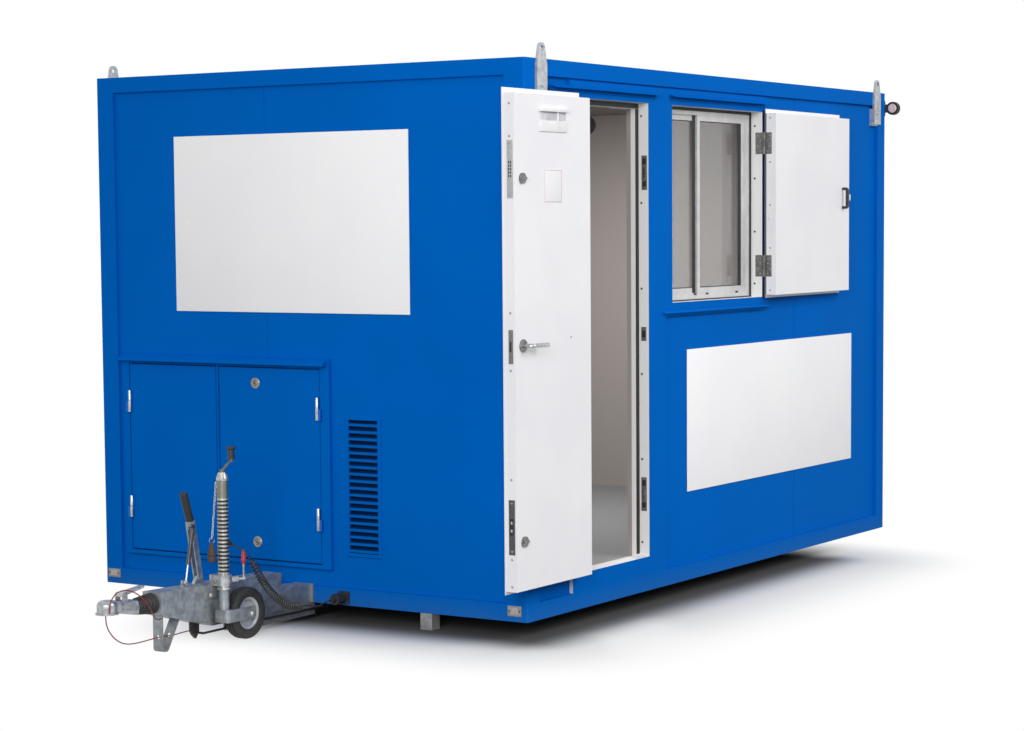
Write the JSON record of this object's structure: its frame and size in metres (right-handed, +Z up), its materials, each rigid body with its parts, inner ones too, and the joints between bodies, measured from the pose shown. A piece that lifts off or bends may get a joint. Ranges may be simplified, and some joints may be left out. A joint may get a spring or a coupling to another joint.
{
  "type": "towable site cabin",
  "caption": "Steel-framed site cabin on a drawbar, lowered to the ground, with an entrance door, a shuttered sliding window, a two-leaf machine hatch, a louvre and a jockey wheel.",
  "frame": {"origin": "on the ground at the middle of the whole object's length and width, leaves at rest", "axes": "+X along the body away from the drawbar, +Y from the door side to the far side, +Z up"},
  "size_m": [5.027, 2.5462, 2.49],
  "materials": {
    "blue_paint": "semi-gloss blue enamel on steel sheet and sections",
    "white_paint": "semi-gloss white powder coat",
    "galvanised": "hot-dip galvanised steel, mottled",
    "bright_zinc": "bright zinc-plated steel",
    "cast_zinc": "zinc-plated casting",
    "satin_steel": "satin stainless steel",
    "black_iron": "black coated iron",
    "dark_metal": "dark oily cast metal",
    "floor_vinyl": "grey vinyl sheet",
    "roof_paint": "blue enamel on ribbed steel sheet",
    "black_plastic": "black moulded plastic",
    "aluminium": "natural anodised",
    "window_glass": "clear float glass",
    "black_rubber": "black moulded rubber",
    "lamp_lens": "ribbed lamp lens, clear in front and red behind",
    "black_paint": "black lacquered tube",
    "red_plastic": "red moulded plastic",
    "rim_paint": "silver-grey paint on pressed steel",
    "tyre": "black tyre rubber",
    "cable_black": "black cable sheath",
    "cable_red": "red plastic-coated wire rope"
  },
  "bodies": {
    "cabin": {"corner_posts": "blue_paint", "frame_rails": "blue_paint", "cross_members": "galvanised", "floor": "floor_vinyl", "roof_panel": "roof_paint", "door_side_wall": "blue_paint", "wall_bands": "blue_paint", "far_side_wall": "blue_paint", "rear_wall": "blue_paint", "front_wall_top": "blue_paint", "front_wall_piers": "blue_paint", "frame_jambs": "blue_paint", "frame_heads_and_sills": "blue_paint", "fixed_hinges": "bright_zinc", "window_frame": "aluminium", "window_sashes": "aluminium", "window_glass": "window_glass", "drip_channels": "blue_paint", "hatch_posts": "blue_paint", "hatch_rails": "blue_paint", "louvre_panel": "blue_paint", "lifting_lugs": "galvanised", "marker_lamp_arms": "black_rubber", "marker_lamp_lenses": "lamp_lens", "feet": "galvanised", "drawbar_beam": "galvanised", "drawbar_arm": "galvanised", "overrun_bellows": "black_rubber", "coupling_head": "cast_zinc", "skid_foot": "galvanised", "brake_linkage": "dark_metal", "brake_bracket": "cast_zinc", "jockey_clamp": "cast_zinc", "clamp_grip": "red_plastic", "jockey_mast": "galvanised", "curly_lead": "cable_black", "lead_top": "cable_black", "lead_tail": "cable_black", "lead_fittings": "black_plastic", "breakaway_cable_upper": "cable_red", "breakaway_cable_lower": "cable_red"},
    "door": {"entrance_door": "white_paint", "door_furniture": "satin_steel"},
    "door_handle": {"door_lever": "satin_steel"},
    "shutter": {"window_shutter": "white_paint", "shutter_pull": "black_iron"},
    "hatch_leaf_right": {"hatch_door_right": "blue_paint"},
    "hatch_leaf_left": {"hatch_door_left": "blue_paint"},
    "brake_lever": {"handbrake_lever": "galvanised", "handbrake_grip": "black_rubber"},
    "strut_lower": {"strut_rod": "bright_zinc"},
    "strut_upper": {"strut_tube": "black_paint"},
    "coupling_lever": {"coupling_latch": "bright_zinc"},
    "crank": {"jockey_crank": "bright_zinc", "crank_knob": "black_plastic"},
    "jockey_tube": {"jockey_leg": "galvanised"},
    "jockey_yoke": {"jockey_fork": "galvanised"},
    "wheel": {"jockey_rim": "rim_paint", "jockey_tyre": "tyre"}
  },
  "joints": [
    {"name": "entrance_door", "type": "hinge", "parent": "cabin", "child": "door", "pos_m": [-0.759, -1.15335, 1.25], "axis": [0, 0, 1], "range_deg": [0, 180]},
    {"name": "door_lever", "type": "hinge", "parent": "door", "child": "door_handle", "pos_m": [-1.32035, -1.22385, 1.245], "axis": [0, 1, 0], "range_deg": [0, 45], "stiffness_Nm_per_rad": 1.5, "springref_deg": -11.46},
    {"name": "window_shutter", "type": "hinge", "parent": "cabin", "child": "shutter", "pos_m": [1.001, -1.14935, 1.825], "axis": [0, 0, -1], "range_deg": [0, 181.5]},
    {"name": "hatch_door_right", "type": "hinge", "parent": "cabin", "child": "hatch_leaf_right", "pos_m": [-1.1855, -0.05885, 0.69], "axis": [0, 0, 1], "range_deg": [0, 110]},
    {"name": "hatch_door_left", "type": "hinge", "parent": "cabin", "child": "hatch_leaf_left", "pos_m": [-1.1855, 1.02615, 0.69], "axis": [0, 0, -1], "range_deg": [0, 110]},
    {"name": "handbrake_lever", "type": "hinge", "parent": "cabin", "child": "brake_lever", "pos_m": [-1.8615, 0.06615, 0.266], "axis": [0, 1, 0], "range_deg": [-25, 10]},
    {"name": "strut_swing", "type": "hinge", "parent": "cabin", "child": "strut_lower", "pos_m": [-1.9785, 0.03515, 0.262], "axis": [0, 1, 0], "range_deg": [-24.61, 10.45]},
    {"name": "strut_slide", "type": "slide", "parent": "strut_lower", "child": "strut_upper", "axis": [0.2156, 0, 0.9765], "range_m": [-0.0514, 0.0212]},
    {"name": "coupling_lever", "type": "hinge", "parent": "cabin", "child": "coupling_lever", "pos_m": [-2.3815, 0.03115, 0.266], "axis": [0, -1, 0], "range_deg": [0, 50], "stiffness_Nm_per_rad": 1.5, "springref_deg": -20.05},
    {"name": "jockey_crank", "type": "hinge", "parent": "cabin", "child": "crank", "pos_m": [-1.8565, -0.06885, 0.72], "axis": [0, 0, 1], "range_deg": [-5400, 900]},
    {"name": "jockey_screw", "type": "slide", "parent": "cabin", "child": "jockey_tube", "axis": [0, 0, 1], "range_m": [-0.12, 0.02]},
    {"name": "jockey_swivel", "type": "hinge", "parent": "jockey_tube", "child": "jockey_yoke", "pos_m": [-1.8565, -0.06885, 0.146], "axis": [0, 0, 1], "range_deg": [-20, 0]},
    {"name": "jockey_wheel_spin", "type": "hinge", "parent": "jockey_yoke", "child": "wheel", "pos_m": [-1.7225, -0.06885, 0.11], "axis": [0, 1, 0], "continuous": true}
  ],
  "couplings": [
    {"joint": "strut_swing", "follows": "handbrake_lever", "ratio": 0.9445},
    {"joint": "strut_slide", "follows": "handbrake_lever", "m_per_rad": 0.11561},
    {"joint": "jockey_crank", "follows": "jockey_screw", "rad_per_m": 785.4}
  ]
}
